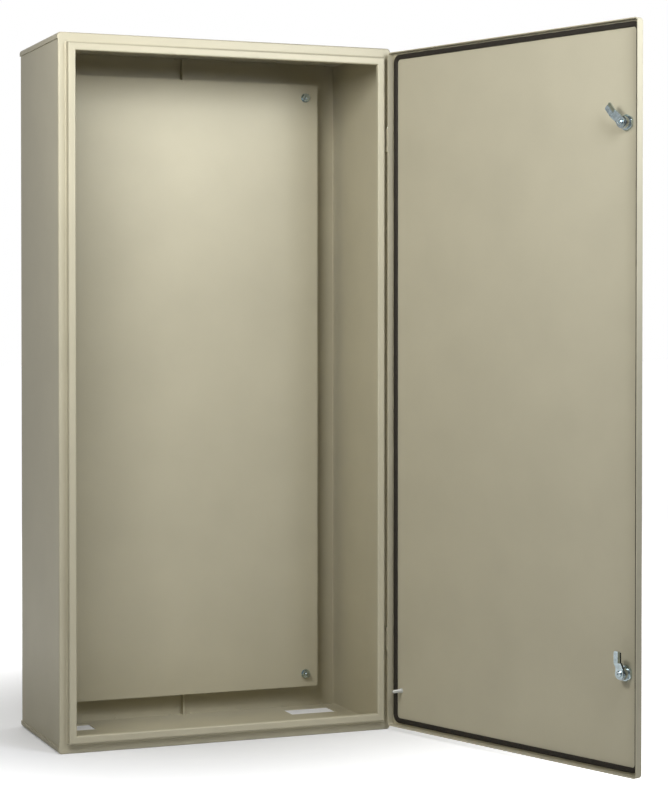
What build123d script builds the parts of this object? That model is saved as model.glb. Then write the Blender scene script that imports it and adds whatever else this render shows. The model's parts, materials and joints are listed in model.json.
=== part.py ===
"""Steel wall enclosure: a folded sheet-steel cabinet with a hinged door, shown with the door open.

The origin is the centre of the wall-hole pattern on the outer face of the back.
+X runs to the right, +Y into the wall and +Z up. Sizes are in millimetres.
"""
from build123d import *
from math import cos, sin, radians
import os

os.makedirs("parts", exist_ok=True)

# Cabinet body
body_width = 600.0
body_height = 1200.0
body_depth = 265.0
sheet = 1.5
bend = 2.5
foot_radius = 3.5
skirt_height = 11.0
skirt_bend = 6.5

# Raised rim around the mouth
side_flange = 15.5
end_flange = 17.5
lip_rise = 12.0
lip_face = 13.0
lip_return = 9.0

# Standing seam down the middle of the back, and the holes for wall bolts
seam_height = 9.0
wall_hole_from_side = 50.0
wall_hole_from_end = 50.0
wall_hole_radius = 5.0

# Cable entries in the floor, and tack welds along the seams of the back
entry_width = 86.0
entry_depth = 48.0
entry_from_side = 72.5
entry_from_wall = 57.0
tack_radius = 2.2
tack_sink = 0.8
tack_clearance = 0.1
ceiling_tacks_from_left = (128.0, 210.0, 287.0)
ceiling_tacks_from_right = (203.0, 119.0, 56.5, 20.0)
floor_tacks_from_left = (172.0, 275.0)
floor_tacks_from_right = (286.0, 188.0, 107.0, 27.0, 10.0)

# Mounting plate and its four fixings
plate_from_side = 47.0
plate_from_end = 43.0
plate_thickness = 2.0
plate_corner = 3.0
plate_standoff = 29.5
fixing_from_side = 24.0
fixing_from_end = 23.5
stud_radius = 4.0
stud_point = 0.8
stud_beyond_nut = 3.9
plate_hole_clearance = 0.5
spacer_radius = 7.0
thread_clearance = 0.05
washer_radius = 8.5
washer_thickness = 1.6
nut_flats = 13.0
nut_thickness = 6.5
nut_edge_chamfer = 0.8

# Door
door_inset_x = 10.5
door_inset_z = 9.0
door_thickness = 14.0
door_corner = 6.0
door_open_angle = 108.5

# Foamed gasket around the inside of the door
gasket_from_hinge_edge = 5.0
gasket_from_free_edge = 3.5
gasket_from_top = 4.0
gasket_from_bottom = 5.5
gasket_width = 8.5
gasket_thickness = 4.0
gasket_corner = 15.0
gasket_crown = 2.0
gasket_clearance = 0.3

# Two hinges with loose pins beside the door's edge
hinge_from_end = 161.0
hinge_length = 41.0
knuckle_radius = 2.4
knuckle_clearance = 0.4
knuckle_gap = 0.3
leaf_knuckle_length = 20.0
leaf_thickness = 1.4
hinge_axis_forward = 7.0
hinge_foot_thickness = 1.6
hinge_foot_width = 8.5
web_width = 2.0
pin_radius = 1.4
pin_clearance = 0.05
pin_head_radius = 2.2
pin_head_height = 1.0

# Two cam locks near the door's free edge
lock_from_edge = 32.0
lock_from_end = 169.5
lock_head_radius = 15.0
lock_head_thickness = 4.0
lock_head_round = 1.2
lock_seal_radius = 13.5
lock_seal_thickness = 1.0
barrel_radius = 10.0
barrel_inside = 13.3
barrel_hole_clearance = 0.3
lock_nut_flats = 24.0
lock_nut_thickness = 4.5
lock_nut_edge_chamfer = 1.1
lock_nut_corner_trim = 0.75
spindle_radius = 6.0
spindle_clearance = 0.06
spindle_collar_radius = 7.2
spindle_collar_thickness = 1.7
spindle_recess = 0.8
spindle_proud = 0.3
key_well_radius = 4.2
key_well_depth = 5.0
key_bar = 3.0
square_size = 7.0
square_clearance = 0.1
square_short = 0.2

# Cams and their screws
cam_reach = 36.0
cam_width = 15.0
cam_thickness = 3.0
cam_hub_radius = 8.5
cam_ramp_start = 9.5
cam_ramp_end = 18.0
cam_bend = 2.0
cam_tip_corner = 2.5
cam_lead_width = 6.5
cam_lead_bend = 2.0
cam_flange_clearance = 0.3
upper_cam_angle = 40.0
lower_cam_angle = 0.0
screw_head_radius = 5.0
screw_head_height = 2.8
screw_head_round = 1.2
screw_radius = 2.5
screw_length = 8.0

# Weld studs for earth conductors
earth_stud_radius = 3.0
earth_stud_length = 20.0
earth_collar_radius = 4.5
earth_collar_height = 1.2
door_earth_from_edge = 23.0
door_earth_from_end = 63.0
body_earth_from_back = 120.0
body_earth_from_floor = 60.0
earth_nut_flats = 10.0
earth_nut_thickness = 5.0

# Places that follow from the sizes above
half_width = body_width / 2
half_height = body_height / 2
wall_x = half_width - sheet
inner_x = wall_x - sheet
inner_z = half_height - sheet
back_inner_y = -sheet
front_y = -body_depth
lip_x = half_width - side_flange
lip_z = half_height - end_flange
lip_y = front_y - lip_rise
mitre = 2 * lip_face
flange_end_z = lip_z - sheet

wall_hole_x = half_width - wall_hole_from_side
wall_hole_z = half_height - wall_hole_from_end
entry_x = half_width - entry_from_side

plate_width = body_width - 2 * plate_from_side
plate_height = body_height - 2 * plate_from_end
plate_back_y = back_inner_y - plate_standoff
plate_front_y = plate_back_y - plate_thickness
washer_front_y = plate_front_y - washer_thickness
nut_front_y = washer_front_y - nut_thickness
stud_end_y = nut_front_y - stud_beyond_nut

door_width = body_width - 2 * door_inset_x
door_height = body_height - 2 * door_inset_z
door_edge_x = door_width / 2
door_edge_z = door_height / 2
door_inner_y = lip_y - gasket_clearance - gasket_thickness
door_outer_y = door_inner_y - sheet
door_back_y = door_outer_y + door_thickness

hinge_x = door_edge_x + knuckle_clearance + knuckle_radius
hinge_y = front_y - hinge_axis_forward
hinge_z = half_height - hinge_from_end
hinge_line = Axis((hinge_x, hinge_y, 0), (0, 0, 1))
hinge_foot_y = front_y - hinge_foot_thickness

lock_x = -door_edge_x + lock_from_edge
lock_z = half_height - lock_from_end
seal_front_y = door_outer_y - lock_seal_thickness
head_front_y = seal_front_y - lock_head_thickness
barrel_end_y = door_inner_y + barrel_inside
collar_front_y = head_front_y + spindle_recess
collar_back_y = collar_front_y + spindle_collar_thickness
cam_hub_y = barrel_end_y + spindle_proud
cam_hub_back_y = cam_hub_y + cam_thickness
cam_tip_y = front_y + sheet + cam_flange_clearance


def wall_plane(y):
    """A plane parallel to the wall at the given depth, facing the front."""
    return Plane.XZ.offset(-y)


def swung(part):
    """The door's pieces are modelled with the door shut, and then swung open."""
    return part.rotate(hinge_line, door_open_angle)


def inside_caps(depth):
    """The room between the two caps, from the back of the body to the given depth."""
    with BuildPart() as room:
        with BuildSketch(wall_plane(sheet)):
            RectangleRounded(2 * wall_x, 2 * inner_z, skirt_bend - sheet)
        extrude(amount=sheet + depth)
    return room.part


def wedges(*triangles):
    """Triangular blocks in front of the body's front plane, which cut the rim's corner mitres."""
    with BuildPart() as blocks:
        for triangle in triangles:
            with BuildSketch(wall_plane(front_y)):
                with BuildLine():
                    Polyline(*triangle, close=True)
                make_face()
            extrude(amount=2 * lip_rise)
    return blocks.part


# Left half of the wrap: back, side, front flange and raised rim folded from one sheet
with BuildPart() as left_shell:
    with BuildSketch(Plane.XY):
        with BuildLine():
            FilletPolyline(
                (0, back_inner_y - seam_height),
                (0, 0),
                (-wall_x, 0),
                (-wall_x, front_y),
                (-lip_x, front_y),
                (-lip_x, lip_y),
                (-lip_x + lip_face, lip_y),
                (-lip_x + lip_face, lip_y + lip_return),
                radius=(bend, bend, bend, foot_radius, bend, bend),
            )
            offset(amount=sheet, side=Side.LEFT)
        make_face()
    extrude(amount=inner_z, both=True)
    add(inside_caps(body_depth + 2 * lip_rise), mode=Mode.INTERSECT)
    flange_room = half_height - flange_end_z
    for end in (1, -1):
        with Locations((0, front_y + sheet / 2, end * (flange_end_z + flange_room / 2))):
            Box(body_width, sheet, flange_room, mode=Mode.SUBTRACT)
        add(
            wedges(
                (
                    (-lip_x - mitre, end * (lip_z + mitre)),
                    (-lip_x + mitre, end * (lip_z - mitre)),
                    (-lip_x + mitre, end * (lip_z + mitre)),
                )
            ),
            mode=Mode.SUBTRACT,
        )
    with BuildSketch(wall_plane(0)):
        with GridLocations(2 * wall_hole_x, 2 * wall_hole_z, 2, 2):
            Circle(wall_hole_radius)
    extrude(amount=sheet, mode=Mode.SUBTRACT)
left_shell.part.label = "left_shell"
export_step(left_shell.part, "parts/left_shell.step")

with BuildPart() as right_shell:
    mirror(left_shell.part, about=Plane.YZ)
right_shell.part.label = "right_shell"
export_step(right_shell.part, "parts/right_shell.step")


def cap(tacks_from_left, tacks_from_right):
    """The top cap: skirts outside the side walls, a front flange and the rim's end run."""
    with BuildPart() as pan:
        with BuildSketch(Plane.XY.offset(half_height)):
            with Locations((0, front_y / 2)):
                Rectangle(body_width, body_depth)
        extrude(amount=flange_end_z - half_height)
        fillet(pan.edges().filter_by(Axis.Y).group_by(Axis.Z)[-1], skirt_bend)
        front_outline = pan.faces().sort_by(Axis.Y)[0].edges()
        fillet(front_outline.group_by(Axis.Z)[1:], bend)
        add(inside_caps(body_depth - sheet), mode=Mode.SUBTRACT)
        for side in (1, -1):
            below_skirt = half_height - skirt_height
            with Locations((side * half_width, front_y / 2, below_skirt - end_flange / 2)):
                Box(2 * sheet, body_depth, end_flange, mode=Mode.SUBTRACT)
        with BuildSketch(Plane.YZ):
            with BuildLine():
                FilletPolyline(
                    (front_y, lip_z + end_flange / 2),
                    (front_y, lip_z),
                    (lip_y, lip_z),
                    (lip_y, lip_z - lip_face),
                    (lip_y + lip_return, lip_z - lip_face),
                    radius=(foot_radius, bend, bend),
                )
                offset(amount=sheet, side=Side.LEFT)
            make_face()
        extrude(amount=wall_x - bend, both=True)
        for side in (1, -1):
            add(
                wedges(
                    (
                        (side * (lip_x - mitre), lip_z - mitre),
                        (side * (lip_x + mitre), lip_z + mitre),
                        (side * (lip_x + mitre), lip_z - mitre),
                    )
                ),
                mode=Mode.SUBTRACT,
            )
        tacks = [x - half_width for x in tacks_from_left]
        tacks += [half_width - x for x in tacks_from_right]
        tack_y = back_inner_y - tack_clearance - tack_radius
        with Locations(*[(x, tack_y, inner_z - tack_sink) for x in tacks]):
            Sphere(tack_radius)
    return pan.part


with BuildPart() as top_cap:
    add(cap(ceiling_tacks_from_left, ceiling_tacks_from_right))
top_cap.part.label = "top_cap"
export_step(top_cap.part, "parts/top_cap.step")

with BuildPart() as bottom_cap:
    mirror(cap(floor_tacks_from_left, floor_tacks_from_right), about=Plane.XY)
    with BuildSketch(Plane.XY.offset(-half_height)):
        with Locations((entry_x, -entry_from_wall), (-entry_x, -entry_from_wall)):
            Rectangle(entry_width, entry_depth)
    extrude(amount=sheet, mode=Mode.SUBTRACT)
bottom_cap.part.label = "bottom_cap"
export_step(bottom_cap.part, "parts/bottom_cap.step")

# Mounting plate on four welded studs, each with a spacer, washer and nut
fixing_x = plate_width / 2 - fixing_from_side
fixing_z = plate_height / 2 - fixing_from_end
fixing_centres = [(x, z) for x in (-fixing_x, fixing_x) for z in (-fixing_z, fixing_z)]

with BuildPart() as mounting_plate:
    with BuildSketch(wall_plane(plate_back_y)):
        RectangleRounded(plate_width, plate_height, plate_corner)
        with Locations(*fixing_centres):
            Circle(stud_radius + plate_hole_clearance, mode=Mode.SUBTRACT)
    extrude(amount=plate_thickness)
mounting_plate.part.label = "mounting_plate"
export_step(mounting_plate.part, "parts/mounting_plate.step")

with BuildPart() as plate_studs:
    with BuildSketch(wall_plane(back_inner_y)):
        with Locations(*fixing_centres):
            Circle(stud_radius)
    extrude(amount=back_inner_y - stud_end_y)
    chamfer(plate_studs.faces().group_by(Axis.Y)[0].edges(), stud_point)
plate_studs.part.label = "plate_studs"
export_step(plate_studs.part, "parts/plate_studs.step")

with BuildPart() as plate_spacers:
    with BuildSketch(wall_plane(back_inner_y)):
        with Locations(*fixing_centres):
            Circle(spacer_radius)
            Circle(stud_radius + thread_clearance, mode=Mode.SUBTRACT)
    extrude(amount=plate_standoff)
plate_spacers.part.label = "plate_spacers"
export_step(plate_spacers.part, "parts/plate_spacers.step")

with BuildPart() as plate_washers:
    with BuildSketch(wall_plane(plate_front_y)):
        with Locations(*fixing_centres):
            Circle(washer_radius)
            Circle(stud_radius + thread_clearance, mode=Mode.SUBTRACT)
    extrude(amount=washer_thickness)
plate_washers.part.label = "plate_washers"
export_step(plate_washers.part, "parts/plate_washers.step")


def hex_nuts(y, flats, thickness, bore, edge_chamfer, centres, corner_trim=0, turn=0):
    """Hexagon nuts whose seats lie at y, with corners turned down to a circle on the far side."""
    corner_radius = flats / 2 / cos(radians(30))
    with BuildPart() as turned:
        with BuildSketch(wall_plane(y)):
            with Locations(*centres):
                Circle(corner_radius - corner_trim)
        extrude(amount=thickness)
        chamfer(turned.faces().group_by(Axis.Y)[0].edges(), edge_chamfer)
    with BuildPart() as nuts:
        with BuildSketch(wall_plane(y)):
            with Locations(*centres):
                RegularPolygon(flats / 2, 6, major_radius=False, rotation=turn)
                Circle(bore, mode=Mode.SUBTRACT)
        extrude(amount=thickness)
        add(turned.part, mode=Mode.INTERSECT)
    return nuts.part


with BuildPart() as plate_nuts:
    nut_bore = stud_radius + thread_clearance
    add(
        hex_nuts(
            washer_front_y, nut_flats, nut_thickness, nut_bore, nut_edge_chamfer, fixing_centres
        )
    )
plate_nuts.part.label = "plate_nuts"
export_step(plate_nuts.part, "parts/plate_nuts.step")

# Door: a shallow pan with a return flange all round and holes for the two locks
with BuildPart() as door_panel:
    with BuildSketch(wall_plane(door_back_y)):
        RectangleRounded(door_width, door_height, door_corner)
    extrude(amount=door_thickness)
    fillet(door_panel.faces().sort_by(Axis.Y)[0].edges(), bend)
    with BuildSketch(wall_plane(door_back_y)):
        RectangleRounded(door_width - 2 * sheet, door_height - 2 * sheet, door_corner - sheet)
    extrude(amount=door_thickness - sheet, mode=Mode.SUBTRACT)
    with BuildSketch(wall_plane(door_inner_y)):
        with Locations((lock_x, lock_z), (lock_x, -lock_z)):
            Circle(barrel_radius + barrel_hole_clearance)
    extrude(amount=sheet, mode=Mode.SUBTRACT)
door_panel.part = swung(door_panel.part)
door_panel.part.label = "door_panel"
export_step(door_panel.part, "parts/door_panel.step")

with BuildPart() as door_gasket:
    gasket_outer_x = door_width - gasket_from_hinge_edge - gasket_from_free_edge
    gasket_outer_z = door_height - gasket_from_top - gasket_from_bottom
    gasket_centre_x = (gasket_from_free_edge - gasket_from_hinge_edge) / 2
    gasket_centre_z = (gasket_from_bottom - gasket_from_top) / 2
    with BuildSketch(wall_plane(door_inner_y)):
        with Locations((gasket_centre_x, gasket_centre_z)):
            RectangleRounded(gasket_outer_x, gasket_outer_z, gasket_corner)
            RectangleRounded(
                gasket_outer_x - 2 * gasket_width,
                gasket_outer_z - 2 * gasket_width,
                gasket_corner - gasket_width,
                mode=Mode.SUBTRACT,
            )
    extrude(amount=-gasket_thickness)
    fillet(door_gasket.faces().sort_by(Axis.Y)[-1].edges(), gasket_crown)
door_gasket.part = swung(door_gasket.part)
door_gasket.part.label = "door_gasket"
export_step(door_gasket.part, "parts/door_gasket.step")

# Hinges: a base welded to the body's front flange, a leaf welded to the door's edge, and a pin
outer_knuckle = (hinge_length - leaf_knuckle_length) / 2 - knuckle_gap
leaf_root_y = hinge_y - knuckle_radius - 2 * knuckle_clearance
leaf_front_y = door_outer_y + bend
for name, level in (("upper", hinge_z), ("lower", -hinge_z)):
    knuckle_offset = (hinge_length - outer_knuckle) / 2
    with BuildPart() as hinge_base:
        foot_centre = (hinge_x, hinge_foot_y + hinge_foot_thickness / 2, level)
        with Locations(foot_centre):
            Box(hinge_foot_width, hinge_foot_thickness, hinge_length)
        web_depth = hinge_foot_y - hinge_y
        for place in (level - knuckle_offset, level + knuckle_offset):
            with BuildSketch(Plane.XY.offset(place)):
                with Locations((hinge_x, hinge_y)):
                    Circle(knuckle_radius)
                web_centre = hinge_x + (knuckle_radius - web_width) / 2
                with Locations((web_centre, hinge_y + web_depth / 2)):
                    Rectangle(knuckle_radius + web_width, web_depth)
            extrude(amount=outer_knuckle / 2, both=True)
        with BuildSketch(Plane.XY.offset(level)):
            with Locations((hinge_x, hinge_y)):
                Circle(pin_radius + pin_clearance)
        extrude(amount=hinge_length, both=True, mode=Mode.SUBTRACT)
    hinge_base.part.label = f"{name}_hinge_base"
    export_step(hinge_base.part, f"parts/{name}_hinge_base.step")

    with BuildPart() as hinge_leaf:
        with BuildSketch(Plane.XY.offset(level)):
            with Locations((door_edge_x + leaf_thickness / 2, (leaf_front_y + leaf_root_y) / 2)):
                Rectangle(leaf_thickness, leaf_root_y - leaf_front_y)
        extrude(amount=hinge_length / 2, both=True)
        with BuildSketch(Plane.XY.offset(level)):
            with Locations((hinge_x, hinge_y)):
                Circle(knuckle_radius)
            with BuildLine():
                Polyline(
                    (door_edge_x, leaf_root_y - leaf_thickness),
                    (door_edge_x, hinge_y),
                    (hinge_x, hinge_y),
                    (hinge_x, hinge_y - knuckle_radius),
                    (door_edge_x + leaf_thickness, leaf_root_y - leaf_thickness),
                    close=True,
                )
            make_face()
        extrude(amount=leaf_knuckle_length / 2, both=True)
        with BuildSketch(Plane.XY.offset(level)):
            with Locations((hinge_x, hinge_y)):
                Circle(pin_radius + pin_clearance)
        extrude(amount=hinge_length, both=True, mode=Mode.SUBTRACT)
    hinge_leaf.part = swung(hinge_leaf.part)
    hinge_leaf.part.label = f"{name}_hinge_leaf"
    export_step(hinge_leaf.part, f"parts/{name}_hinge_leaf.step")

    with BuildPart() as hinge_pin:
        with BuildSketch(Plane.XY.offset(level - hinge_length / 2)):
            with Locations((hinge_x, hinge_y)):
                Circle(pin_radius)
        extrude(amount=hinge_length)
        with BuildSketch(Plane.XY.offset(level + hinge_length / 2)):
            with Locations((hinge_x, hinge_y)):
                Circle(pin_head_radius)
        extrude(amount=pin_head_height)
    hinge_pin.part.label = f"{name}_hinge_pin"
    export_step(hinge_pin.part, f"parts/{name}_hinge_pin.step")

# Cam locks: housing, seal and nut stay with the door; spindle, cam and screw turn together
for name, level, cam_angle in (
    ("upper", lock_z, upper_cam_angle),
    ("lower", -lock_z, lower_cam_angle),
):
    lock_place = Locations((lock_x, level))
    cam_line = Axis((lock_x, 0, level), (0, 1, 0))

    with BuildPart() as lock_housing:
        with BuildSketch(wall_plane(seal_front_y)):
            with lock_place:
                Circle(lock_head_radius)
        extrude(amount=lock_head_thickness)
        fillet(lock_housing.faces().sort_by(Axis.Y)[0].edges(), lock_head_round)
        with BuildSketch(wall_plane(barrel_end_y)):
            with lock_place:
                Circle(barrel_radius)
        extrude(amount=barrel_end_y - seal_front_y)
        with BuildSketch(wall_plane(barrel_end_y)):
            with lock_place:
                Circle(spindle_radius + spindle_clearance)
        extrude(amount=barrel_end_y - head_front_y, mode=Mode.SUBTRACT)
        with BuildSketch(wall_plane(collar_back_y + 2 * spindle_clearance)):
            with lock_place:
                Circle(spindle_collar_radius + spindle_clearance)
        extrude(amount=collar_back_y - head_front_y + 2 * spindle_clearance, mode=Mode.SUBTRACT)
    lock_housing.part = swung(lock_housing.part)
    lock_housing.part.label = f"{name}_lock_housing"
    export_step(lock_housing.part, f"parts/{name}_lock_housing.step")

    with BuildPart() as lock_seal:
        with BuildSketch(wall_plane(door_outer_y)):
            with lock_place:
                Circle(lock_seal_radius)
                Circle(barrel_radius + barrel_hole_clearance, mode=Mode.SUBTRACT)
        extrude(amount=lock_seal_thickness)
    lock_seal.part = swung(lock_seal.part)
    lock_seal.part.label = f"{name}_lock_seal"
    export_step(lock_seal.part, f"parts/{name}_lock_seal.step")

    with BuildPart() as lock_nut:
        seated = hex_nuts(
            0,
            lock_nut_flats,
            lock_nut_thickness,
            barrel_radius + thread_clearance,
            lock_nut_edge_chamfer,
            [(lock_x, level)],
            corner_trim=lock_nut_corner_trim,
            turn=30,
        )
        facing_inside = mirror(seated, about=Plane.XZ, mode=Mode.PRIVATE)
        add(facing_inside.translate((0, door_inner_y, 0)))
    lock_nut.part = swung(lock_nut.part)
    lock_nut.part.label = f"{name}_lock_nut"
    export_step(lock_nut.part, f"parts/{name}_lock_nut.step")

    with BuildPart() as spindle:
        with BuildSketch(wall_plane(cam_hub_y)):
            with lock_place:
                Circle(spindle_radius)
        extrude(amount=cam_hub_y - collar_front_y)
        with BuildSketch(wall_plane(collar_back_y)):
            with lock_place:
                Circle(spindle_collar_radius)
        extrude(amount=spindle_collar_thickness)
        with BuildSketch(wall_plane(collar_front_y)):
            with lock_place:
                Circle(key_well_radius)
                Rectangle(key_bar, 2 * key_well_radius, mode=Mode.SUBTRACT)
        extrude(amount=-key_well_depth, mode=Mode.SUBTRACT)
        with BuildSketch(wall_plane(cam_hub_y)):
            with lock_place:
                Rectangle(square_size, square_size)
        extrude(amount=square_short - cam_thickness)
        with BuildSketch(wall_plane(cam_hub_back_y)):
            with lock_place:
                Circle(screw_radius + thread_clearance)
        extrude(amount=screw_length + cam_thickness, mode=Mode.SUBTRACT)
    spindle.part = swung(spindle.part.rotate(cam_line, cam_angle))
    spindle.part.label = f"{name}_lock_spindle"
    export_step(spindle.part, f"parts/{name}_lock_spindle.step")

    with BuildPart() as cam:
        with BuildSketch(Plane.YZ.offset(lock_x)):
            with BuildLine():
                FilletPolyline(
                    (cam_hub_y, level - cam_hub_radius),
                    (cam_hub_y, level + cam_ramp_start),
                    (cam_tip_y, level + cam_ramp_end),
                    (cam_tip_y, level + cam_reach),
                    radius=cam_bend,
                )
                offset(amount=cam_thickness, side=Side.RIGHT)
            make_face()
        extrude(amount=cam_width, both=True)
        lead_edge_x = lock_x - cam_width / 2
        lead_length = cam_reach - cam_ramp_end
        for face_y, action in ((cam_tip_y + cam_thickness, Mode.ADD), (cam_tip_y, Mode.SUBTRACT)):
            with BuildSketch(Plane.XY.offset(level + cam_ramp_end)):
                with BuildLine():
                    Polyline(
                        (lead_edge_x + cam_lead_width, face_y),
                        (lead_edge_x, face_y + cam_lead_bend),
                        (lead_edge_x, face_y),
                        close=True,
                    )
                make_face()
            extrude(amount=lead_length, mode=action)
        with BuildSketch(wall_plane(0)) as cam_outline:
            with lock_place:
                Circle(cam_hub_radius)
            with Locations((lock_x, level + cam_reach / 2)):
                Rectangle(cam_width, cam_reach)
            fillet(cam_outline.vertices().group_by(Axis.Z)[-1], cam_tip_corner)
            with lock_place:
                Rectangle(
                    square_size + square_clearance,
                    square_size + square_clearance,
                    mode=Mode.SUBTRACT,
                )
        extrude(amount=body_depth + body_width, mode=Mode.INTERSECT)
    cam.part = swung(cam.part.rotate(cam_line, cam_angle))
    cam.part.label = f"{name}_cam"
    export_step(cam.part, f"parts/{name}_cam.step")

    with BuildPart() as cam_screw:
        with BuildSketch(wall_plane(cam_hub_back_y + screw_head_height)):
            with lock_place:
                Circle(screw_head_radius)
        extrude(amount=screw_head_height)
        fillet(cam_screw.faces().sort_by(Axis.Y)[-1].edges(), screw_head_round)
        with BuildSketch(wall_plane(cam_hub_back_y)):
            with lock_place:
                Circle(screw_radius)
        extrude(amount=screw_length)
    cam_screw.part = swung(cam_screw.part.rotate(cam_line, cam_angle))
    cam_screw.part.label = f"{name}_cam_screw"
    export_step(cam_screw.part, f"parts/{name}_cam_screw.step")


def earth_stud(plane):
    """A weld stud standing on the given plane, with its flange and a pointed end."""
    with BuildPart() as stud:
        with BuildSketch(plane):
            Circle(earth_collar_radius)
        extrude(amount=earth_collar_height)
        with BuildSketch(plane):
            Circle(earth_stud_radius)
        extrude(amount=earth_stud_length)
        chamfer(stud.edges().sort_by_distance(plane.origin)[-1], stud_point)
    return stud.part


# Earth studs: one on the door's inner face, and one with a nut on the left wall
door_earth_x = door_edge_x - door_earth_from_edge
door_earth_z = -door_edge_z + door_earth_from_end
with BuildPart() as door_earth_stud:
    add(earth_stud(Plane((door_earth_x, door_inner_y, door_earth_z), z_dir=(0, 1, 0))))
door_earth_stud.part = swung(door_earth_stud.part)
door_earth_stud.part.label = "door_earth_stud"
export_step(door_earth_stud.part, "parts/door_earth_stud.step")

body_earth_z = -half_height + body_earth_from_floor
with BuildPart() as body_earth_stud:
    add(earth_stud(Plane((-inner_x, -body_earth_from_back, body_earth_z), z_dir=(1, 0, 0))))
body_earth_stud.part.label = "body_earth_stud"
export_step(body_earth_stud.part, "parts/body_earth_stud.step")

with BuildPart() as body_earth_nut:
    nut_plane = Plane(
        (-inner_x + earth_collar_height, -body_earth_from_back, body_earth_z),
        z_dir=(1, 0, 0),
    )
    with BuildSketch(nut_plane):
        RegularPolygon(earth_nut_flats / 2, 6, major_radius=False)
        Circle(earth_stud_radius + thread_clearance, mode=Mode.SUBTRACT)
    extrude(amount=earth_nut_thickness)
body_earth_nut.part.label = "body_earth_nut"
export_step(body_earth_nut.part, "parts/body_earth_nut.step")
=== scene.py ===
"""Dresses the packed steel wall enclosure: finishes, gasket, threads, cam screws and studio."""

import json
import math

import bpy
from mathutils import Matrix, Vector


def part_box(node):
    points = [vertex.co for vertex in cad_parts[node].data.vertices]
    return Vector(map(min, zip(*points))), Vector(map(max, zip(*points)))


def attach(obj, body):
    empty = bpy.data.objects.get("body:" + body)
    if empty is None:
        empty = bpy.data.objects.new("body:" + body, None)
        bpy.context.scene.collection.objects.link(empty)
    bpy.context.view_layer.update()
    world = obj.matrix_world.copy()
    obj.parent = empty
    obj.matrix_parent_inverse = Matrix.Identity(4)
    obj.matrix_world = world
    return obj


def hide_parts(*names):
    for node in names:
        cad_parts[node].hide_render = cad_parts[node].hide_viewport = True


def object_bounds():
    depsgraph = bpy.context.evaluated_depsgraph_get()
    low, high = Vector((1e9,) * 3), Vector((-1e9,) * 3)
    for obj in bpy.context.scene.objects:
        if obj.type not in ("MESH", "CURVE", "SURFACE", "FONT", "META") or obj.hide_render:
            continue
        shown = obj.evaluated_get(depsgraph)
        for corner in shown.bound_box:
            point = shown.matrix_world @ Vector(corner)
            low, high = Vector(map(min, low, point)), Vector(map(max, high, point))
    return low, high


bl_info = {
    "name": "Steel Wall Enclosure",
    "version": (1, 0, 0),
    "blender": (4, 5, 0),
    "location": "View3D > Sidebar > Enclosure",
    "description": "Finishes, gasket, threads, cam screws and studio of a wall enclosure",
    "category": "Object",
}

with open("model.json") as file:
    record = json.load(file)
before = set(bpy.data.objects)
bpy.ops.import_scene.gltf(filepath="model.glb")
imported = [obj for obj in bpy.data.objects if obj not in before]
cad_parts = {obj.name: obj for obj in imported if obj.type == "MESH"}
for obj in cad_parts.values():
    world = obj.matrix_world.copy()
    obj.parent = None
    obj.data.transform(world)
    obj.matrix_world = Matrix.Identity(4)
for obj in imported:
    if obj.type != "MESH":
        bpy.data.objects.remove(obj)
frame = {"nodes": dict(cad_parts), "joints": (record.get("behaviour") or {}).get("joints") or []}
CAD_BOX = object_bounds()

MM = 0.001

# The door as it is when shut, and what sits on its inner face
DOOR_WIDTH = 579 * MM
DOOR_HEIGHT = 1182 * MM
DOOR_INNER_Y = -281.3 * MM
GASKET_MARGINS = {"hinge": 5 * MM, "free": 3.5 * MM, "top": 4 * MM, "bottom": 5.5 * MM}
LOCK_X = -257.5 * MM
LOCK_Z = 430.5 * MM
CAM_SCREW_SEAT_Y = -264.7 * MM
DOOR_EARTH = Vector((266.5 * MM, DOOR_INNER_Y, -528 * MM))

# Turns and moves what is modelled on the shut door to the door's rest pose
DOOR_HINGE = next(joint for joint in frame["joints"] if joint["name"] == "door_hinge")
HINGE = Vector(DOOR_HINGE["pos_m"])
DOOR_ANGLE = -math.radians(DOOR_HINGE["range_deg"][0])
DOOR_TURN = (
    Matrix.Translation(HINGE)
    @ Matrix.Rotation(DOOR_ANGLE, 4, "Z")
    @ Matrix.Translation(-HINGE)
)
DOOR_INWARD = DOOR_TURN.to_3x3() @ Vector((0, 1, 0))

# Gasket bead: its crown is a share of its height
CROWN_SHARE = 0.55
CROWN_SEGMENTS = 5
CORNER_SEGMENTS = 8
UPRIGHT_CUTS = 360
LEVEL_CUTS = 180
LUMP_SIZE = 11 * MM
FOAM_SMOOTH = math.radians(50)

# Threads: their depth is a share of the pitch, and the ridge's section one of the depth
THREAD_DEPTH = 0.54
THREAD_RIDGE = 0.9
PLAIN_TURNS = 2
METAL_SMOOTH = math.radians(35)
PLATE_STUD_RADIUS = 4 * MM
EARTH_STUD_RADIUS = 3 * MM
EARTH_STUD_LENGTH = 20 * MM
EARTH_COLLAR_RADIUS = 4.5 * MM
EARTH_COLLAR_HEIGHT = 1.2 * MM
COLLAR_FACETS = 32
BODY_EARTH = Vector((-297 * MM, -120 * MM, -540 * MM))

# Screws that hold the cams, with their cross recesses
SCREW_FACETS = 48
SCREW_HEAD_RADIUS = 5 * MM
SCREW_HEAD_HEIGHT = 2.8 * MM
SCREW_HEAD_ROUND = 1.5 * MM
SCREW_RADIUS = 2.5 * MM
SCREW_LENGTH = 8 * MM
RECESS_RADIUS = 2.9 * MM
RECESS_WIDTH = 1.1 * MM
RECESS_DEPTH = 1.9 * MM
RECESS_BOTTOM = (0.35, 0.6, 1.0)

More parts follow.
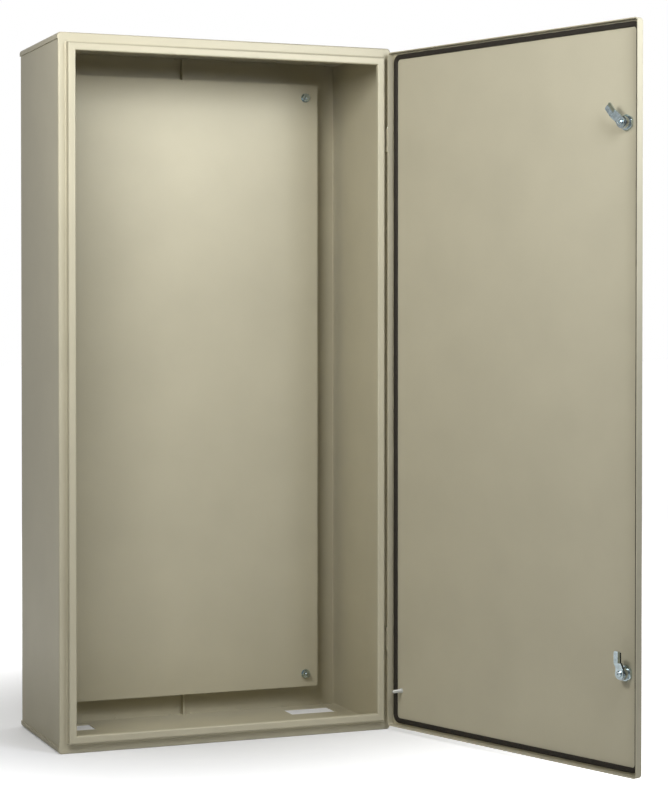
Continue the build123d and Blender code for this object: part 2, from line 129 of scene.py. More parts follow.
# Studio: the floor turns white between two distances from the origin, which is 0.6 m above it
WHITE = (1.0, 1.0, 1.0)
COOL = (0.95, 0.99, 1.08)
FLOOR_SIZE = 60.0
FLOOR_GREY = (0.72, 0.72, 0.72)
FADE_START = 0.6
FADE_END = 1.05
LAMP_AIM = (0.1, -0.3, 0.15)
SOFTBOX_SIZE = (0.6, 0.4)
GLOW_SIZE = (0.8, 0.5)
FRONT_LAMP_SIZE = (1.0, 1.0)
BACK_LAMP_SIZE = (2.0, 2.0)

# The photograph's camera, solved from points of the object
CAMERA_PLACE = (-1.17433, -3.67419, 0.11937)
CAMERA_VIEW = (0.37225, 0.92800, -0.01578)
CAMERA_SENSOR = 36.0
CAMERA_LENS = 94.77
CAMERA_SHIFT = -0.05595
CAMERA_REACH = 100.0

COATED = (
    "left_shell",
    "right_shell",
    "top_cap",
    "bottom_cap",
    "mounting_plate",
    "door_panel",
    "upper_hinge_base",
    "lower_hinge_base",
    "upper_hinge_leaf",
    "lower_hinge_leaf",
)
ZINC = (
    "plate_spacers",
    "plate_washers",
    "plate_nuts",
    "body_earth_nut",
    "upper_hinge_pin",
    "lower_hinge_pin",
    "upper_lock_nut",
    "lower_lock_nut",
    "upper_cam",
    "lower_cam",
)
CAST = (
    "upper_lock_housing",
    "lower_lock_housing",
    "upper_lock_spindle",
    "lower_lock_spindle",
)
SEALS = ("upper_lock_seal", "lower_lock_seal")


class EnclosureCoat(bpy.types.PropertyGroup):
    """Powder coat on the sheet steel."""

    colour: bpy.props.FloatVectorProperty(
        name="Colour",
        description="Colour of the powder coat",
        subtype="COLOR",
        size=3,
        min=0.0,
        max=1.0,
        default=(0.50, 0.462, 0.338),
    )
    roughness: bpy.props.FloatProperty(
        name="Roughness",
        description="Roughness of the coat between its ripples",
        min=0.0,
        max=1.0,
        default=0.36,
    )
    peel: bpy.props.FloatProperty(
        name="Orange peel",
        description="Depth of the ripples in the coat's glossy skin",
        unit="LENGTH",
        default=0.0003,
    )
    ripples: bpy.props.FloatProperty(
        name="Ripples",
        description="Ripples in one metre of coat",
        default=400.0,
    )
    spots: bpy.props.FloatProperty(
        name="Spots",
        description="Mean mirror share of the coat, which varies in fine spots",
        default=0.08,
    )


class EnclosureMetal(bpy.types.PropertyGroup):
    """Plated steel and cast lock parts."""

    zinc: bpy.props.FloatVectorProperty(
        name="Zinc",
        description="Colour of bright zinc plating",
        subtype="COLOR",
        size=3,
        min=0.0,
        max=1.0,
        default=(0.56, 0.655, 0.68),
    )
    casting: bpy.props.FloatVectorProperty(
        name="Casting",
        description="Colour of the nickel-plated castings",
        subtype="COLOR",
        size=3,
        min=0.0,
        max=1.0,
        default=(0.54, 0.58, 0.585),
    )


class EnclosureGasket(bpy.types.PropertyGroup):
    """Foamed gasket inside the door."""

    colour: bpy.props.FloatVectorProperty(
        name="Colour",
        description="Colour of the foam",
        subtype="COLOR",
        size=3,
        min=0.0,
        max=1.0,
        default=(0.019, 0.016, 0.012),
    )
    width: bpy.props.FloatProperty(
        name="Width", description="Width of the bead", unit="LENGTH", default=8.5 * MM
    )
    height: bpy.props.FloatProperty(
        name="Height", description="Height of the bead", unit="LENGTH", default=3.8 * MM
    )
    corner: bpy.props.FloatProperty(
        name="Corner",
        description="Radius of the bead's middle line at the corners",
        unit="LENGTH",
        default=10.5 * MM,
    )
    lumps: bpy.props.FloatProperty(
        name="Lumps", description="Height of the foam's lumps", unit="LENGTH", default=0.5 * MM
    )


class EnclosureThreads(bpy.types.PropertyGroup):
    """Screw threads."""

    fine: bpy.props.FloatProperty(
        name="M6 pitch", description="Pitch of the M6 studs", unit="LENGTH", default=1.0 * MM
    )
    coarse: bpy.props.FloatProperty(
        name="M8 pitch", description="Pitch of the M8 studs", unit="LENGTH", default=1.25 * MM
    )
    facets: bpy.props.IntProperty(
        name="Facets", description="Facets in one turn of a thread", min=12, default=28
    )


class EnclosureStudio(bpy.types.PropertyGroup):
    """Floor, world and lamps."""

    left: bpy.props.FloatProperty(
        name="Left softbox",
        description="Power of the near softbox at the left",
        default=12.6,
    )
    right: bpy.props.FloatProperty(
        name="Right softbox",
        description="Power of the near softbox at the right",
        default=8.4,
    )
    glow: bpy.props.FloatProperty(
        name="Glow",
        description="Power of the softbox mirrored in the mounting plate",
        default=3.0,
    )
    front: bpy.props.FloatProperty(
        name="Front lamp",
        description="Power of the large lamp high in front at the left",
        default=3.5,
    )
    back: bpy.props.FloatProperty(
        name="Back lamps",
        description="Power of each of the two large lamps behind and beside the object",
        default=38.0,
    )
    ambient: bpy.props.FloatProperty(
        name="Ambient", description="Light from all round", default=0.045
    )
    dim: bpy.props.FloatProperty(
        name="Dim side",
        description="Share of white that mirrored rays find in front",
        default=0.2,
    )
    floor_lift: bpy.props.FloatProperty(
        name="Floor lift",
        description="How far the floor under the object is lifted to white",
        default=0.0,
    )


def props(name):
    return getattr(bpy.context.scene, name)


def pick(obj):
    """Makes one object the only selected and active one."""
    if bpy.context.object and bpy.context.object.mode != "OBJECT":
        bpy.ops.object.mode_set(mode="OBJECT")
    bpy.ops.object.select_all(action="DESELECT")
    obj.hide_set(False)
    obj.select_set(True)
    bpy.context.view_layer.objects.active = obj


def started(name):
    """Names the object that an add operator has just made."""
    obj = bpy.context.object
    obj.name = name
    obj.data.name = name
    return obj


def clear_selection():
    if bpy.context.object and bpy.context.object.mode != "OBJECT":
        bpy.ops.object.mode_set(mode="OBJECT")
    bpy.ops.object.select_all(action="DESELECT")


def select_where(obj, kind, wanted):
    """Opens the object in edit mode with only the wanted vertices, edges or faces selected."""
    pick(obj)
    bpy.ops.object.mode_set(mode="EDIT")
    bpy.ops.mesh.select_mode(type=kind)
    bpy.ops.mesh.select_all(action="DESELECT")
    bpy.ops.object.mode_set(mode="OBJECT")
    mesh = obj.data
    for element in {"VERT": mesh.vertices, "EDGE": mesh.edges, "FACE": mesh.polygons}[kind]:
        element.select = wanted(element)
    bpy.ops.object.mode_set(mode="EDIT")


def faces_up(face):
    return face.normal.z > 0.5


def faces_down(face):
    return face.normal.z < -0.5


def apply_all(obj):
    """Applies the object's modifiers in order."""
    pick(obj)
    for modifier in list(obj.modifiers):
        bpy.ops.object.modifier_apply(modifier=modifier.name)


def tidy(obj, distance=1e-6):
    """Merges doubles and turns every face outwards."""
    pick(obj)
    bpy.ops.object.mode_set(mode="EDIT")
    bpy.ops.mesh.select_all(action="SELECT")
    bpy.ops.mesh.remove_doubles(threshold=distance)
    bpy.ops.mesh.normals_make_consistent(inside=False)
    bpy.ops.object.mode_set(mode="OBJECT")


def settle(obj, matrix=None):
    """Puts the object's place into its mesh."""
    pick(obj)
    if matrix is not None:
        obj.matrix_world = matrix @ obj.matrix_world
    bpy.ops.object.transform_apply(location=True, rotation=True, scale=True)


def joined(objs, name):
    """Joins several meshes into one piece."""
    clear_selection()
    for obj in objs:
        obj.select_set(True)
    bpy.context.view_layer.objects.active = objs[0]
    bpy.ops.object.join()
    return started(name)


def paint(obj, finish):
    obj.data.materials.clear()
    obj.data.materials.append(finish)


def material(name):
    """A new material with a Principled shader, and its nodes, links, shader and coordinates."""
    made = bpy.data.materials.new(name)
    made.use_nodes = True
    nodes = made.node_tree.nodes
    shader = nodes["Principled BSDF"]
    place = nodes.new("ShaderNodeTexCoord")
    return made, nodes, made.node_tree.links, shader, place.outputs["Object"]


def noise(nodes, links, place, scale, detail=2.0, roughness=0.5):
    node = nodes.new("ShaderNodeTexNoise")
    node.inputs["Scale"].default_value = scale
    node.inputs["Detail"].default_value = detail
    node.inputs["Roughness"].default_value = roughness
    links.new(place, node.inputs["Vector"])
    return node.outputs["Fac"]


def ramp(nodes, links, value, low, high, start=0.0, end=1.0):
    """A colour ramp from one colour to another, between two values."""
    node = nodes.new("ShaderNodeValToRGB")
    node.color_ramp.elements[0].position = start
    node.color_ramp.elements[0].color = (*low, 1.0)
    node.color_ramp.elements[1].position = end
    node.color_ramp.elements[1].color = (*high, 1.0)
    links.new(value, node.inputs["Fac"])
    return node.outputs["Color"]


def span(nodes, links, value, low, high):
    """Maps a value from 0..1 to low..high."""
    node = nodes.new("ShaderNodeMapRange")
    node.inputs["To Min"].default_value = low
    node.inputs["To Max"].default_value = high
    links.new(value, node.inputs["Value"])
    return node.outputs["Result"]


def bump(nodes, links, height, distance, under=None):
    node = nodes.new("ShaderNodeBump")
    node.inputs["Distance"].default_value = distance
    node.inputs["Strength"].default_value = 1.0
    links.new(height, node.inputs["Height"])
    if under is not None:
        links.new(under, node.inputs["Normal"])
    return node.outputs["Normal"]


def shade(colour, share):
    return tuple(part * share for part in colour)


def powder_coat():
    """Semi-gloss powder coat: an even colour under a finely rippled skin."""
    coat = props("enclosure_coat")
    made, nodes, links, shader, place = material("powder_coat")
    patches = noise(nodes, links, place, scale=9.0, detail=3.0)
    darker, paler = shade(coat.colour, 0.97), shade(coat.colour, 1.03)
    links.new(
        ramp(nodes, links, patches, darker, paler, start=0.3, end=0.7),
        shader.inputs["Base Color"],
    )
    shader.inputs["Specular IOR Level"].default_value = 0.0
    shader.inputs["Coat Weight"].default_value = 0.3
    shader.inputs["Coat IOR"].default_value = 1.3
    shader.inputs["Coat Roughness"].default_value = 0.3
    waves = noise(nodes, links, place, scale=coat.ripples)
    grain = noise(nodes, links, place, scale=coat.ripples * 3)
    links.new(span(nodes, links, waves, 0.0, 2 * coat.spots), shader.inputs["Metallic"])
    duller, glossier = coat.roughness + 0.04, coat.roughness - 0.04
    links.new(span(nodes, links, waves, duller, glossier), shader.inputs["Roughness"])
    links.new(bump(nodes, links, waves, coat.peel / 4), shader.inputs["Normal"])
    skin = bump(nodes, links, waves, coat.peel)
    skin = bump(nodes, links, grain, coat.peel / 3, under=skin)
    links.new(skin, shader.inputs["Coat Normal"])
    return made


def bright_zinc():
    """Bright zinc plating, bluish and slightly cloudy, with fine scratches."""
    metal = props("enclosure_metal")
    made, nodes, links, shader, place = material("bright_zinc")
    shader.inputs["Metallic"].default_value = 1.0
    clouds = noise(nodes, links, place, scale=160.0, detail=3.0)
    darker, paler = shade(metal.zinc, 0.8), shade(metal.zinc, 1.15)
    links.new(
        ramp(nodes, links, clouds, darker, paler, start=0.35, end=0.65),
        shader.inputs["Base Color"],
    )
    links.new(span(nodes, links, clouds, 0.08, 0.2), shader.inputs["Roughness"])
    scratches = noise(nodes, links, place, scale=1500.0)
    links.new(bump(nodes, links, scratches, distance=0.02 * MM), shader.inputs["Normal"])
    return made


def lock_casting():
    """Satin nickel over a zinc casting."""
    metal = props("enclosure_metal")
    made, nodes, links, shader, place = material("lock_casting")
    shader.inputs["Metallic"].default_value = 1.0
    clouds = noise(nodes, links, place, scale=220.0, detail=3.0)
    darker, paler = shade(metal.casting, 0.75), shade(metal.casting, 1.1)
    links.new(
        ramp(nodes, links, clouds, darker, paler, start=0.3, end=0.7),
        shader.inputs["Base Color"],
    )
    links.new(span(nodes, links, clouds, 0.1, 0.22), shader.inputs["Roughness"])
    pits = noise(nodes, links, place, scale=900.0, detail=3.0)
    links.new(bump(nodes, links, pits, distance=0.04 * MM), shader.inputs["Normal"])
    return made


def gasket_foam():
    """Foamed polyurethane: matt black-brown skin with a grey speckle painted in as its sheen."""
    gasket = props("enclosure_gasket")
    made, nodes, links, shader, place = material("gasket_foam")
    speckle = noise(nodes, links, place, scale=700.0, detail=4.0, roughness=0.65)
    # The speckle's paler grey is a painted sheen: light caught by the foam's pores, put into its
    # colour
    sheen_grey = shade(gasket.colour, 3.2)
    links.new(
        ramp(nodes, links, speckle, gasket.colour, sheen_grey, start=0.45, end=0.75),
        shader.inputs["Base Color"],
    )
    shader.inputs["Roughness"].default_value = 0.75
    shader.inputs["Specular IOR Level"].default_value = 0.2
    pores = noise(nodes, links, place, scale=1300.0, detail=3.0)
    links.new(bump(nodes, links, pores, distance=0.25 * MM), shader.inputs["Normal"])
    return made


def seal_rubber():
    """Matt black rubber of the seals under the lock heads."""
    made, nodes, links, shader, place = material("seal_rubber")
    grey = noise(nodes, links, place, scale=300.0)
    links.new(
        ramp(nodes, links, grey, (0.018, 0.018, 0.018), (0.035, 0.035, 0.034)),
        shader.inputs["Base Color"],
    )
    shader.inputs["Roughness"].default_value = 0.7
    links.new(bump(nodes, links, grey, distance=0.1 * MM), shader.inputs["Normal"])
    return made


class ENCLOSURE_OT_finishes(bpy.types.Operator):
    """Give the sheet steel, hardware and locks their finishes"""

    bl_idname = "enclosure.finishes"
    bl_label = "Finishes"

    def execute(self, context):
        for make, names in (
            (powder_coat, COATED),
            (bright_zinc, ZINC),
            (lock_casting, CAST),
            (seal_rubber, SEALS),
        ):
            finish = make()
            for name in names:
                paint(frame["nodes"][name], finish)
        gasket_foam()
        return {"FINISHED"}


def bead_profile(width, height):
    """The bead's section as a curve: it stands on the door's skin and has a round crown."""
    bpy.ops.mesh.primitive_plane_add(size=1.0)
    profile = started("gasket_profile")
    profile.scale = (width, height, 1.0)
    profile.location = (0.0, height / 2, 0.0)
    settle(profile)
    select_where(profile, "VERT", lambda vertex: vertex.co.y > height / 2)
    bpy.ops.mesh.bevel(offset=height * CROWN_SHARE, segments=CROWN_SEGMENTS, affect="VERTICES")
    bpy.ops.mesh.select_all(action="SELECT")
    bpy.ops.mesh.delete(type="ONLY_FACE")
    bpy.ops.object.mode_set(mode="OBJECT")
    bpy.ops.object.convert(target="CURVE")
    return bpy.context.object


def edge_length(obj, edge):
    start, end = (obj.data.vertices[index].co for index in edge.vertices)
    return (start - end).length


class ENCLOSURE_OT_gasket(bpy.types.Operator):
    """Model the foamed gasket as a lumpy bead with round corners"""

    bl_idname = "enclosure.gasket"
    bl_label = "Gasket"

    def execute(self, context):
        gasket = props("enclosure_gasket")
        margins = GASKET_MARGINS
        width = DOOR_WIDTH - margins["hinge"] - margins["free"] - gasket.width
        height = DOOR_HEIGHT - margins["top"] - margins["bottom"] - gasket.width
        across = (margins["free"] - margins["hinge"]) / 2
        up = (margins["bottom"] - margins["top"]) / 2
        profile = bead_profile(gasket.width, gasket.height)
        clear_selection()
        bpy.ops.mesh.primitive_plane_add(size=1.0)
        path = started("gasket_bead")
        path.scale = (width, height, 1.0)
        settle(path)
        bpy.ops.object.mode_set(mode="EDIT")
        bpy.ops.mesh.select_all(action="SELECT")
        bpy.ops.mesh.bevel(offset=gasket.corner, segments=CORNER_SEGMENTS, affect="VERTICES")
        bpy.ops.mesh.select_all(action="SELECT")
        bpy.ops.mesh.delete(type="ONLY_FACE")
        for length, cuts in ((height, UPRIGHT_CUTS), (width, LEVEL_CUTS)):
            run = length - 2 * gasket.corner
            select_where(path, "EDGE", lambda edge: abs(edge_length(path, edge) - run) < MM)
            bpy.ops.mesh.subdivide(number_cuts=cuts)
        bpy.ops.object.mode_set(mode="OBJECT")
        bpy.ops.object.convert(target="CURVE")
        path = bpy.context.object
        path.data.dimensions = "2D"
        path.data.fill_mode = "NONE"
        path.data.bevel_mode = "OBJECT"
        path.data.bevel_object = profile
        bpy.ops.object.convert(target="MESH")
        bead = started("gasket_bead")
        tidy(bead, distance=1e-5)
        lumps = bpy.data.textures.new("foam_lumps", "CLOUDS")
        lumps.noise_scale = LUMP_SIZE
        lumps.noise_depth = 2
        swell = bead.modifiers.new("lumps", "DISPLACE")
        swell.texture = lumps
        swell.texture_coords = "LOCAL"
        swell.strength = gasket.lumps
        swell.mid_level = 0.5
        apply_all(bead)
        bpy.ops.object.shade_smooth_by_angle(angle=FOAM_SMOOTH)
        centre = Matrix.Translation((across, DOOR_INNER_Y, up))
        upright = centre @ Matrix.Rotation(-math.pi / 2, 4, "X")
        settle(bead, DOOR_TURN @ upright)
        paint(bead, bpy.data.materials["gasket_foam"])
        bpy.data.objects.remove(profile)
        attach(bead, "door")
        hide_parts("door_gasket")
        return {"FINISHED"}


def helical_thread(name, radius, pitch, turns, ridge):
    """A thread's ridge, wound about +Z from one pitch above the origin and closed at its ends."""
    facets = props("enclosure_threads").facets
    clear_selection()
    bpy.ops.mesh.primitive_circle_add(vertices=4, radius=ridge, fill_type="NOTHING")
    thread = started(name + "_thread")
    thread.rotation_euler = (math.pi / 2, 0, 0)
    thread.location = (radius - ridge, 0, pitch)
    settle(thread)
    turn = thread.modifiers.new("turn", "SCREW")
    turn.axis = "Z"
    turn.screw_offset = pitch
    turn.iterations = turns
    turn.steps = facets
    turn.render_steps = facets
    turn.use_smooth_shade = False
    apply_all(thread)
    bpy.ops.object.mode_set(mode="EDIT")
    bpy.ops.mesh.select_mode(type="EDGE")
    bpy.ops.mesh.select_all(action="DESELECT")
    bpy.ops.mesh.select_non_manifold()
    bpy.ops.mesh.edge_face_add()
    bpy.ops.object.mode_set(mode="OBJECT")
    tidy(thread)
    return thread


def weld_collar(name, radius, height):
    """The collar at a weld stud's root, with rounded edges."""
    clear_selection()
    bpy.ops.mesh.primitive_cylinder_add(
        vertices=COLLAR_FACETS, radius=radius, depth=height, location=(0, 0, height / 2)
    )
    collar = started(name + "_collar")
    bevel = collar.modifiers.new("round", "BEVEL")
    bevel.width = height / 3
    bevel.segments = 3
    bevel.limit_method = "ANGLE"
    apply_all(collar)
    settle(collar)
    return collar


def threaded_rod(name, radius, pitch, length, collar=None):
    """A rod along +Z from the origin: a chamfered core, its thread and a weld stud's collar.

    The collar is given by its radius and height.
    """
    depth = THREAD_DEPTH * pitch
    clear_selection()
    bpy.ops.mesh.primitive_cylinder_add(
        vertices=props("enclosure_threads").facets,
        radius=radius - depth,
        depth=length,
        location=(0, 0, length / 2),
    )
    core = started(name + "_core")
    bevel = core.modifiers.new("point", "BEVEL")
    bevel.width = depth
    bevel.segments = 1
    bevel.limit_method = "ANGLE"
    apply_all(core)
    settle(core)
    turns = int(length / pitch) - PLAIN_TURNS
    parts = [core, helical_thread(name, radius, pitch, turns, THREAD_RIDGE * depth)]
    if collar:
        parts.append(weld_collar(name, *collar))
    rod = joined(parts, name)
    bpy.ops.object.shade_smooth_by_angle(angle=METAL_SMOOTH)
    return rod


def facing(point, direction):
    """A matrix that puts an object's own origin at a point and its +Z along a direction."""
    turn = Vector(direction).to_track_quat("Z", "X").to_matrix().to_4x4()
    return Matrix.Translation(point) @ turn


class ENCLOSURE_OT_plate_studs(bpy.types.Operator):
    """Model the four threaded studs that carry the mounting plate"""

    bl_idname = "enclosure.plate_studs"
    bl_label = "Plate studs"

    def execute(self, context):
        pitch = props("enclosure_threads").coarse
        low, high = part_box("plate_studs")
        radius = PLATE_STUD_RADIUS
        length = high.y - low.y
        first = threaded_rod("plate_threads", radius, pitch, length)
        studs = []
        for x in (low.x + radius, high.x - radius):
            for z in (low.z + radius, high.z - radius):
                copy = first.copy()
                copy.data = first.data.copy()
                context.collection.objects.link(copy)
                settle(copy, facing((x, high.y, z), (0, -1, 0)))
                studs.append(copy)
        bpy.data.objects.remove(first)
        piece = joined(studs, "plate_threads")
        paint(piece, bpy.data.materials["bright_zinc"])
        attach(piece, "cabinet")
        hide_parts("plate_studs")
        return {"FINISHED"}


class ENCLOSURE_OT_earth_studs(bpy.types.Operator):
    """Model the threaded earth studs on the door and on the left wall"""

    bl_idname = "enclosure.earth_studs"
    bl_label = "Earth studs"

    def execute(self, context):
        pitch = props("enclosure_threads").fine
        collar = (EARTH_COLLAR_RADIUS, EARTH_COLLAR_HEIGHT)
        for name, node, finish, body, point, direction in (
            (
                "door_earth_thread",
                "door_earth_stud",
                "powder_coat",
                "door",
                DOOR_TURN @ DOOR_EARTH,
                DOOR_INWARD,
            ),
            (
                "body_earth_thread",
                "body_earth_stud",
                "bright_zinc",
                "cabinet",
                BODY_EARTH,
                Vector((1, 0, 0)),
            ),
        ):
            piece = threaded_rod(name, EARTH_STUD_RADIUS, pitch, EARTH_STUD_LENGTH, collar)
            settle(piece, facing(point, direction))
            paint(piece, bpy.data.materials[finish])
            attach(piece, body)
            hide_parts(node)
        return {"FINISHED"}


def cross_recess(name):
    """Two crossed cutters that narrow towards their bottom, with their mouth at the origin."""
    blades = []
    for index in range(2):
        clear_selection()
        bpy.ops.mesh.primitive_cube_add(size=1.0)
        blade = started(f"{name}_{index}")
        blade.scale = (2 * RECESS_RADIUS, RECESS_WIDTH, 2 * RECESS_DEPTH)
        settle(blade)
        select_where(blade, "FACE", faces_down)
        bpy.ops.transform.resize(value=RECESS_BOTTOM)
        bpy.ops.object.mode_set(mode="OBJECT")
        settle(blade, Matrix.Rotation(index * math.pi / 2, 4, "Z"))
        blades.append(blade)
    return blades


def cam_screw(name):
    """A pan-head screw along +Z, its head's seat at the origin and its shank below."""
    clear_selection()
    bpy.ops.mesh.primitive_cylinder_add(
        vertices=SCREW_FACETS,
        radius=SCREW_HEAD_RADIUS,
        depth=SCREW_HEAD_HEIGHT,
        location=(0, 0, SCREW_HEAD_HEIGHT / 2),
    )
    head = started(name)
    settle(head)
    select_where(head, "FACE", faces_up)
    bpy.ops.mesh.bevel(offset=SCREW_HEAD_ROUND, segments=6, profile=0.5, affect="EDGES")
    select_where(head, "FACE", faces_down)
    bpy.ops.mesh.inset(thickness=SCREW_HEAD_RADIUS - SCREW_RADIUS)
    bpy.ops.mesh.extrude_region_move(TRANSFORM_OT_translate={"value": (0, 0, -SCREW_LENGTH)})
    bpy.ops.object.mode_set(mode="OBJECT")
    for cutter in cross_recess(name + "_slot"):
        cutter.location = (0, 0, SCREW_HEAD_HEIGHT)
        pick(head)
        cut = head.modifiers.new("slot", "BOOLEAN")
        cut.operation = "DIFFERENCE"
        cut.solver = "EXACT"
        cut.object = cutter
        bpy.context.view_layer.update()
        bpy.ops.object.modifier_apply(modifier=cut.name)
        bpy.data.objects.remove(cutter)
    tidy(head)
    bpy.ops.object.shade_smooth_by_angle(angle=METAL_SMOOTH)
    return head


class ENCLOSURE_OT_cam_screws(bpy.types.Operator):
    """Model the cross-recess screws that hold the cams"""

    bl_idname = "enclosure.cam_screws"
    bl_label = "Cam screws"

    def execute(self, context):
        for level, side, tilt in (("upper", 1, 12.0), ("lower", -1, 33.0)):
            screw = cam_screw(level + "_cam_cross_screw")
            seat = DOOR_TURN @ Vector((LOCK_X, CAM_SCREW_SEAT_Y, side * LOCK_Z))
            turn = Matrix.Rotation(math.radians(tilt), 4, "Z")
            settle(screw, facing(seat, DOOR_INWARD) @ turn)
            paint(screw, bpy.data.materials["bright_zinc"])
            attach(screw, level + "_latch")
            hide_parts(level + "_cam_screw")
        return {"FINISHED"}


def backdrop_ray(nodes, links, place, front, back, studio):
    """1 for camera rays, 0 for light, and a share of 1 for mirrored rays.

    The share rises along Y, from the studio's dim side at front to 1 at back.
    """
    path = nodes.new("ShaderNodeLightPath")
    mirrored = nodes.new("ShaderNodeMath")
    mirrored.operation = "MAXIMUM"
    links.new(path.outputs["Is Glossy Ray"], mirrored.inputs[0])
    links.new(path.outputs["Is Transmission Ray"], mirrored.inputs[1])
    depth = nodes.new("ShaderNodeSeparateXYZ")
    links.new(place, depth.inputs[0])
    behind = nodes.new("ShaderNodeMapRange")
    behind.inputs["From Min"].default_value = front
    behind.inputs["From Max"].default_value = back
    behind.inputs["To Min"].default_value = studio.dim
    behind.inputs["To Max"].default_value = 1.0
    links.new(depth.outputs["Y"], behind.inputs["Value"])
    shown = nodes.new("ShaderNodeMath")
    shown.operation = "MULTIPLY"
    links.new(mirrored.outputs[0], shown.inputs[0])
    links.new(behind.outputs["Result"], shown.inputs[1])
    either = nodes.new("ShaderNodeMath")
    either.operation = "MAXIMUM"
    links.new(path.outputs["Is Camera Ray"], either.inputs[0])
    links.new(shown.outputs[0], either.inputs[1])
    return either.outputs[0]


def floor_material(studio):
    """Pale floor, white away from the object, that keeps the object's shadow near it."""
    made, nodes, links, shader, place = material("floor_paper")
    shader.inputs["Base Color"].default_value = (*FLOOR_GREY, 1.0)
    shader.inputs["Roughness"].default_value = 1.0
    shader.inputs["Specular IOR Level"].default_value = 0.0
    distance = nodes.new("ShaderNodeVectorMath")
    distance.operation = "LENGTH"
    links.new(place, distance.inputs[0])
    fade = nodes.new("ShaderNodeMapRange")
    fade.inputs["From Min"].default_value = FADE_START
    fade.inputs["From Max"].default_value = FADE_END
    fade.inputs["To Min"].default_value = studio.floor_lift
    fade.inputs["To Max"].default_value = 1.0
    links.new(distance.outputs["Value"], fade.inputs["Value"])
    strength = nodes.new("ShaderNodeMath")
    strength.operation = "MULTIPLY"
    links.new(fade.outputs["Result"], strength.inputs[0])
    seen = backdrop_ray(nodes, links, place, front=-0.5, back=0.8, studio=studio)
    links.new(seen, strength.inputs[1])
    shader.inputs["Emission Color"].default_value = (*WHITE, 1.0)
    links.new(strength.outputs[0], shader.inputs["Emission Strength"])
    return made


def studio_world(studio):
    """White to the camera, white behind and dim in front in reflections, dimmer as a light."""
    world = bpy.data.worlds.new("studio")
    bpy.context.scene.world = world
    world.use_nodes = True
    nodes, links = world.node_tree.nodes, world.node_tree.links
    nodes.clear()
    output = nodes.new("ShaderNodeOutputWorld")
    strength = nodes.new("ShaderNodeMapRange")
    strength.inputs["To Min"].default_value = studio.ambient
    strength.inputs["To Max"].default_value = 1.0
    direction = nodes.new("ShaderNodeTexCoord").outputs["Generated"]
    seen = backdrop_ray(nodes, links, direction, front=0.25, back=0.75, studio=studio)
    links.new(seen, strength.inputs["Value"])
    white = nodes.new("ShaderNodeBackground")
    white.inputs["Color"].default_value = (*WHITE, 1.0)
    links.new(strength.outputs["Result"], white.inputs["Strength"])
    links.new(white.outputs[0], output.inputs["Surface"])


def area_lamp(name, place, size, power, colour=WHITE):
    """A rectangular lamp aimed at the object, which the camera doesn't see."""
    clear_selection()
    bpy.ops.object.light_add(type="AREA", location=place)
    lamp = started(name)
    lamp.data.shape = "RECTANGLE"
    lamp.data.size, lamp.data.size_y = size
    lamp.data.energy = power
    lamp.data.color = colour
    lamp.visible_camera = False
    aim = Vector(LAMP_AIM) - Vector(place)
    lamp.rotation_euler = aim.to_track_quat("-Z", "Y").to_euler()
    return lamp


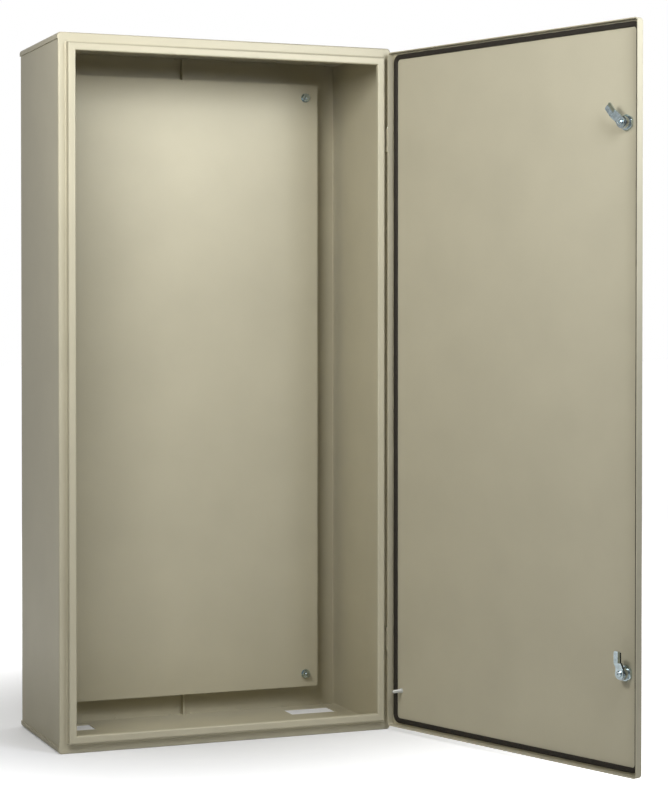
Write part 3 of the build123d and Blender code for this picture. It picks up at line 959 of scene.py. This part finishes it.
class ENCLOSURE_OT_stage(bpy.types.Operator):
    """Set up the floor, world, lamps and camera"""

    bl_idname = "enclosure.stage"
    bl_label = "Stage"

    def execute(self, context):
        studio = props("enclosure_studio")
        context.scene.view_settings.view_transform = "Standard"
        clear_selection()
        bpy.ops.mesh.primitive_plane_add(size=FLOOR_SIZE, location=(0.0, 0.0, CAD_BOX[0].z))
        floor = started("floor")
        settle(floor)
        paint(floor, floor_material(studio))
        studio_world(studio)
        for name, place, size, power, colour in (
            ("left_softbox", (-0.7, -1.1, 0.75), SOFTBOX_SIZE, studio.left, WHITE),
            ("right_softbox", (0.5, -1.4, 0.7), SOFTBOX_SIZE, studio.right, COOL),
            ("glow_softbox", (0.65, -2.0, 0.7), GLOW_SIZE, studio.glow, COOL),
            ("front_lamp", (-1.3, -2.0, 1.1), FRONT_LAMP_SIZE, studio.front, WHITE),
        ):
            area_lamp(name, place, size, power, colour)
        for name, place in (("back_lamp", (0.5, 2.6, 1.3)), ("right_lamp", (2.8, 1.2, 1.3))):
            lamp = area_lamp(name, place, BACK_LAMP_SIZE, studio.back)
            lamp.visible_glossy = False
        clear_selection()
        bpy.ops.object.camera_add(location=CAMERA_PLACE)
        camera = started("camera")
        camera.rotation_euler = Vector(CAMERA_VIEW).to_track_quat("-Z", "Y").to_euler()
        camera.data.sensor_width = CAMERA_SENSOR
        camera.data.lens = CAMERA_LENS
        camera.data.shift_y = CAMERA_SHIFT
        camera.data.clip_end = CAMERA_REACH
        context.scene.camera = camera
        return {"FINISHED"}


class ENCLOSURE_PT_panel(bpy.types.Panel):
    """Lists the enclosure's operators and settings"""

    bl_label = "Steel Wall Enclosure"
    bl_idname = "ENCLOSURE_PT_panel"
    bl_space_type = "VIEW_3D"
    bl_region_type = "UI"
    bl_category = "Enclosure"

    def draw(self, context):
        for operator in OPERATORS:
            self.layout.operator(operator.bl_idname)
        for name, group in GROUPS.items():
            box = self.layout.box()
            box.label(text=group.__doc__)
            for key in group.__annotations__:
                box.prop(getattr(context.scene, name), key)


GROUPS = {
    "enclosure_coat": EnclosureCoat,
    "enclosure_metal": EnclosureMetal,
    "enclosure_gasket": EnclosureGasket,
    "enclosure_threads": EnclosureThreads,
    "enclosure_studio": EnclosureStudio,
}
OPERATORS = (
    ENCLOSURE_OT_stage,
    ENCLOSURE_OT_finishes,
    ENCLOSURE_OT_gasket,
    ENCLOSURE_OT_plate_studs,
    ENCLOSURE_OT_earth_studs,
    ENCLOSURE_OT_cam_screws,
)


def register():
    for name, group in GROUPS.items():
        bpy.utils.register_class(group)
        setattr(bpy.types.Scene, name, bpy.props.PointerProperty(type=group))
    for operator in OPERATORS:
        bpy.utils.register_class(operator)
    bpy.utils.register_class(ENCLOSURE_PT_panel)


def unregister():
    bpy.utils.unregister_class(ENCLOSURE_PT_panel)
    for operator in reversed(OPERATORS):
        bpy.utils.unregister_class(operator)
    for name, group in reversed(GROUPS.items()):
        delattr(bpy.types.Scene, name)
        bpy.utils.unregister_class(group)


def main():
    register()
    bpy.ops.enclosure.stage()
    bpy.ops.enclosure.finishes()
    bpy.ops.enclosure.gasket()
    bpy.ops.enclosure.plate_studs()
    bpy.ops.enclosure.earth_studs()
    bpy.ops.enclosure.cam_screws()
    clear_selection()


if __name__ == "__main__":
    main()
